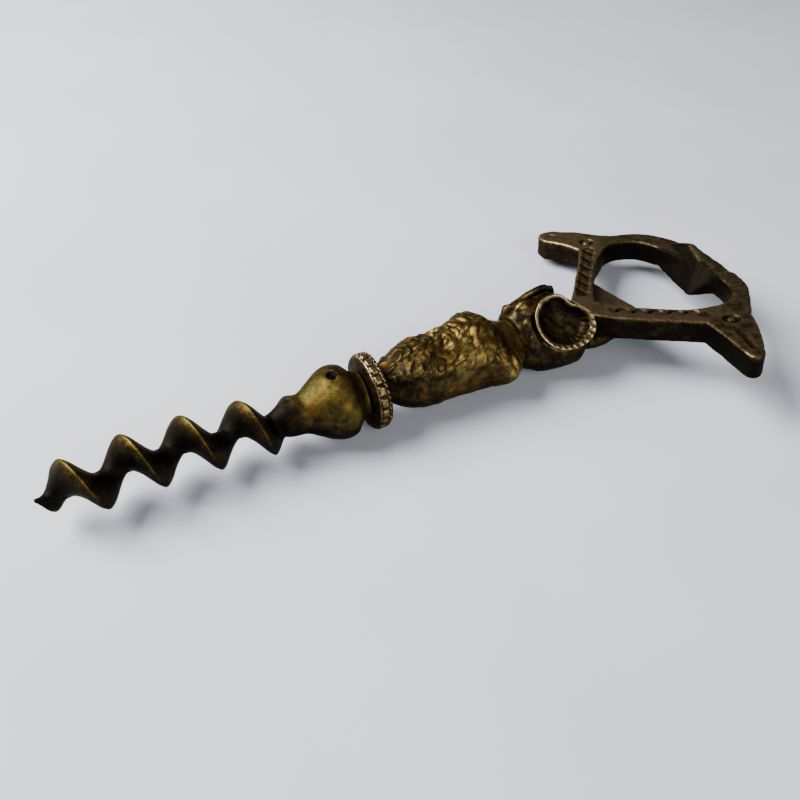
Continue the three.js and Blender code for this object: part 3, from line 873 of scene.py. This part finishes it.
def make_eye(name, side, node):
    """A dished disc with a layered outer wall, a beaded rim and a ribbed bowl."""
    centre, axis, along, up = eye_frame(side)
    share, turn = grid(0.002, 0.998, 150, 320)
    ribbed = smooth_step(np.cos(turn - RIBBED_SIDE), -0.2, 0.5)
    ribs = (0.5 + 0.5 * np.cos(EYE_RIBS * turn)) * hump(share - 0.69, 0.06)
    beads = (0.5 + 0.5 * np.cos(EYE_RIBS * turn)) * hump(share - 0.57, 0.035)
    step = hump(share - 0.345 - 0.02 * np.sin(turn), 0.018)
    radius = EYE_OUTLINE(share) - (0.08 + 0.12 * ribbed) * ribs - 0.24 * step
    radius = (radius * eye_share(turn, side))[..., None]
    rise = EYE_HEIGHT(share) - 0.20 * ribbed * beads
    points = (centre + radius * (np.cos(turn)[..., None] * along + np.sin(turn)[..., None] * up)
              + rise[..., None] * axis)
    obj = skin(name, points)
    if line_normals(obj)[-1] @ axis < 0:
        obj.data.flip_normals()

    dents = with_ends(ribbed * (beads + 0.4 * ribs), 0, 0)
    lit_lower_side = with_ends(np.maximum(-np.sin(turn), 0), 0, 0)
    ribbed = with_ends(ribbed, 0, 0)
    share = with_ends(share, 0, 1)
    bowl = smooth_step(share, 0.60, 0.68)
    spots = line_points(obj)
    move_along_normal(obj, 0.05 * lumps(spots, 1.0, 2.0) + bowl * 0.14 * lumps(spots, 1.0, 7.0))
    rim = hump(share - 0.56, 0.06)
    # painted light bands on the outer wall's layers with a painted dark band between them, painted
    # light on the bowl's lower side, the bowl and its ribbed side a little darker, and painted light
    # on faces that look up
    painted_bands = 0.30 * hump(share - 0.44, 0.025) + 0.25 * hump(share - 0.31, 0.025)
    painted_bands -= 0.30 * hump(share - 0.375, 0.02)
    painted_bands += bowl * (0.12 * lit_lower_side - 0.07)
    painted_bands -= 0.16 * ribbed * hump(share - 0.67, 0.06)
    wear(obj, 0.27, 0.12, 1.2, 12, extra=0.62 * rim + painted_bands - 0.18 * dents)
    finish_piece(obj, EYE_METAL, "eye_disc_brass", node)


# ---- opener frame ---------------------------------------------------------------------------
# places in the plate's own plane, x and y in mm
FRONT_BAR = ((44.0, -5.6), (55.4, -15.2))
REAR_BAR = ((43.2, 2.6), (55.8, 16.6))
LIFTER_CREST = ((69.4, 4.0), (67.8, -0.5))
CRESCENTS = [(44.9, -6.6), (46.9, -8.5), (49.1, -10.2), (51.6, -12.1), (53.8, -13.7)]
RING_MARKS = [(57.7, -18.7), (57.6, 19.7)]
WING_CUTS = [((56.0, -21.2), (54.0, -26.9)), ((56.3, 22.4), (53.6, 26.6))]
DASHES = 6                         # slanted cuts along the rear bar
REAR_GROOVE_DEPTH = 0.26
FRONT_GROOVE_DEPTH = 0.14
CRESCENT_DEPTH = 0.66
KNUCKLE_HEIGHT = 0.28
DASH_DEPTH = 0.50
RING_DEPTH = 0.40
WING_CUT_DEPTH = 0.30
CRESCENT_RADIUS = 0.95
RING_RADIUS = 1.05


def along_segment(points, start, end):
    """Distance of points to a segment in the plate's plane, and the share along it."""
    start, end = np.array(start, float), np.array(end, float)
    run = end - start
    share = np.clip(((points[:, :2] - start) @ run) / (run @ run), 0, 1)
    return np.linalg.norm(points[:, :2] - start - share[:, None] * run, axis=1), share


def off_segment(points, start, end):
    """Distance of points to a segment in the plate's plane."""
    return along_segment(points, start, end)[0]


def groove(away, floor, lip):
    """1 on a cut's floor, up to floor mm from its middle, and 0 from lip mm outwards."""
    return 1 - smooth_step(away, floor, lip)


def run_of(bar):
    """A bar's direction, and the direction square to it."""
    run = np.subtract(bar[1], bar[0])
    run = run / np.linalg.norm(run)
    return run, np.array([-run[1], run[0]])


def crescents(points):
    """Stamped half rings across the front bar, each with a raised knuckle on its near side."""
    _, inward = run_of(FRONT_BAR)
    depth = np.zeros(len(points))
    knuckle = np.zeros(len(points))
    for middle in CRESCENTS:
        offset = points[:, :2] - middle
        away = np.linalg.norm(offset, axis=1)
        upper = smooth_step(offset @ inward, -0.35, 0.25)
        ring = groove(np.abs(away - CRESCENT_RADIUS), 0.12, 0.45)
        depth = np.maximum(depth, ring * upper)
        knuckle = np.maximum(knuckle, hump(np.linalg.norm(offset + 0.5 * inward, axis=1), 0.75))
    return depth, knuckle


def engraving(points):
    """How deep the cuts in the plate's top face are, and how much red-brown dirt sits in them."""
    depth = np.zeros(len(points))
    dirt = np.zeros(len(points))

    def cut(amount, shape, dirty):
        nonlocal depth, dirt
        depth = np.maximum(depth, amount * shape)
        dirt = np.maximum(dirt, dirty * shape)

    cut(REAR_GROOVE_DEPTH, groove(off_segment(points, *REAR_BAR), 0.75, 1.15), 0.35)
    cut(FRONT_GROOVE_DEPTH, groove(off_segment(points, *FRONT_BAR), 0.75, 1.15), 0.15)
    half_rings, knuckle = crescents(points)
    cut(CRESCENT_DEPTH, half_rings, 0.8)
    depth = depth - KNUCKLE_HEIGHT * knuckle
    start, end = (np.array(p) for p in REAR_BAR)
    run, inward = run_of(REAR_BAR)
    slant = 0.75 * run + 0.62 * inward
    for i in range(DASHES):
        middle = start + (end - start) * (0.06 + 0.88 * i / (DASHES - 1))
        cut(DASH_DEPTH, groove(off_segment(points, middle - slant, middle + slant), 0.30, 0.90), 1.0)
    for mark in RING_MARKS:
        away = np.linalg.norm(points[:, :2] - np.array(mark), axis=1)
        cut(RING_DEPTH, groove(np.abs(away - RING_RADIUS), 0.12, 0.6), 0.7)
    for line in WING_CUTS:
        away, share = along_segment(points, *line)
        cut(WING_CUT_DEPTH, groove(away, 0.10, 0.80) * (0.35 + 0.65 * share), 0.6)
    return depth, dirt


def top_face(points, normals):
    """1 on the plate's flat top, 0 on its sides and on the far edge behind the cap lifter."""
    flat = smooth_step(normals[:, 2], 0.6, 0.9) * smooth_step(points[:, 2], 1.9, 2.6)
    return flat * (1 - smooth_step(points[:, 0], 61.0, 62.5) * (np.abs(points[:, 1]) < 12))


def lifter_share(points):
    """1 on the cap lifter, 0 off it."""
    x, y = points[:, 0], points[:, 1]
    share = smooth_step(x, 62, 63.5) * (1 - smooth_step(x, 70.6, 71.4))
    return share * smooth_step(y, -7.0, -5.5) * (1 - smooth_step(y, 9.0, 10.5))


def frame_shade(obj, points, cuts, lifter):
    """Painted light and shade with wear: a painted highlight on the lifter crest and painted light on
    the rear wing; painted shade on the arc, front wing and lifter slope; rubbed bright edges and dark
    cuts.
    """
    x, y, z = points.T
    shaded_slope = lifter * (1 - smooth_step(line_normals(obj)[:, 2], 0.80, 0.97))
    crest = hump(off_segment(points, *LIFTER_CREST), 0.5) * smooth_step(z, 3.3, 3.9)
    handled = np.maximum(smooth_step(np.abs(y), 12.5, 16),
                         hump(off_segment(points, *REAR_BAR), 2.6))
    edges = (0.25 + 0.85 * handled) * relief_of(obj, 22)
    lit_rear_wing = smooth_step(y, 2, 20) * (1 - smooth_step(x, 57.5, 60.0))
    shaded_arc_and_front = np.maximum(smooth_step(x, 57.5, 61), smooth_step(-y, 14, 19))
    return (0.38 * crest - 0.48 * shaded_slope - 0.6 * cuts + edges + 0.16 * lit_rear_wing
            - 0.14 * shaded_arc_and_front)


def make_frame():
    base = add_object("frame_base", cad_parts["opener_frame"].data.copy())
    obj = fuse("opener_plate", [base], 0.17, 6)
    points = line_points(obj)
    on_top = top_face(points, line_normals(obj))
    lifter = lifter_share(points)
    depth, dirt = engraving(points)
    wavy = 0.11 * lumps(points, 2.6, 3.0) + 0.05 * lumps(points, 0.9, 5.0)
    move_along_normal(obj, wavy - depth * on_top - 0.9 * lifter * relief_of(obj, 60))
    paint(obj, red=0.85 * dirt * on_top)
    cuts = np.maximum(depth, 0) * on_top
    # painted light on faces that look up, which leaves the sides dark
    wear(obj, 0.06, 0.68, extra=frame_shade(obj, points, cuts, lifter))
    finish_piece(obj, FRAME_METAL, "handle_brass", "opener_frame")


def keep_inner_nodes():
    """The rod and the dowel stay hidden inside; they keep their CAD shape and get real metal."""
    for node in ("tie_rod", "handle_dowel"):
        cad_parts[node].data.materials.clear()
        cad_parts[node].data.materials.append(PIN_METAL)


# ---- stage ----------------------------------------------------------------------------------
CAMERA_OFFSET = (-44.87, -93.13, 90.6)   # mm, from the zero of the line
CAMERA_TURN = (48, 0, -28)               # degrees
LENS = 38.25
SENSOR = 36
FLOOR_SIZE = 4                           # metres
FLOOR_COLORS = ((0.53, 0.58, 0.66), (0.57, 0.62, 0.70))
ROOM_COLOR = (0.80, 0.82, 0.86)
ROOM_STRENGTH = 0.13


def make_camera():
    camera = add_object("camera", bpy.data.cameras.new("camera"))
    camera.data.lens = LENS
    camera.data.sensor_width = SENSOR
    camera.data.clip_start = 0.005
    camera.location = (Vector(ORIGIN) + Vector(CAMERA_OFFSET)) * MM
    camera.rotation_euler = [math.radians(angle) for angle in CAMERA_TURN]
    bpy.context.scene.camera = camera


def make_floor():
    bpy.ops.mesh.primitive_plane_add(size=FLOOR_SIZE)
    floor = bpy.context.object
    floor.name = "floor"
    graph = Nodes("pale_floor")
    cloth = graph.noise(graph.place(), 0.02, 3.0, 0.5)
    graph.shade("Base Color", graph.ramp(cloth, list(zip((0.35, 0.65), FLOOR_COLORS))))
    graph.shader.inputs["Roughness"].default_value = 0.95
    graph.shader.inputs["Specular IOR Level"].default_value = 0.1
    floor.data.materials.append(graph.material)


def add_light(name, place, size, power, color):
    """A square softbox that faces the object; place is in metres from its middle."""
    light = bpy.data.lights.new(name, "AREA")
    light.size = size
    light.energy = power
    light.color = color
    obj = add_object(name, light)
    obj.location = place
    obj.rotation_euler = (-Vector(place)).to_track_quat("-Z", "Y").to_euler()


def make_lights():
    world = bpy.data.worlds.new("room")
    bpy.context.scene.world = world
    world.use_nodes = True
    background = world.node_tree.nodes["Background"]
    background.inputs["Color"].default_value = (*ROOM_COLOR, 1)
    background.inputs["Strength"].default_value = ROOM_STRENGTH
    add_light("window", (-0.26, 0.20, 0.31), 0.32, 7.1, (1.0, 0.98, 0.94))
    add_light("fill", (0.02, -0.52, 0.30), 0.40, 2.6, (1.0, 0.97, 0.93))


make_camera()
make_floor()
make_lights()
make_worm()
make_bulb()
make_pin()
make_collar()
make_torso()
make_head()
make_eye("front_eye", -1, "front_eye_disc")
make_eye("rear_eye", 1, "rear_eye_disc")
make_frame()
keep_inner_nodes()
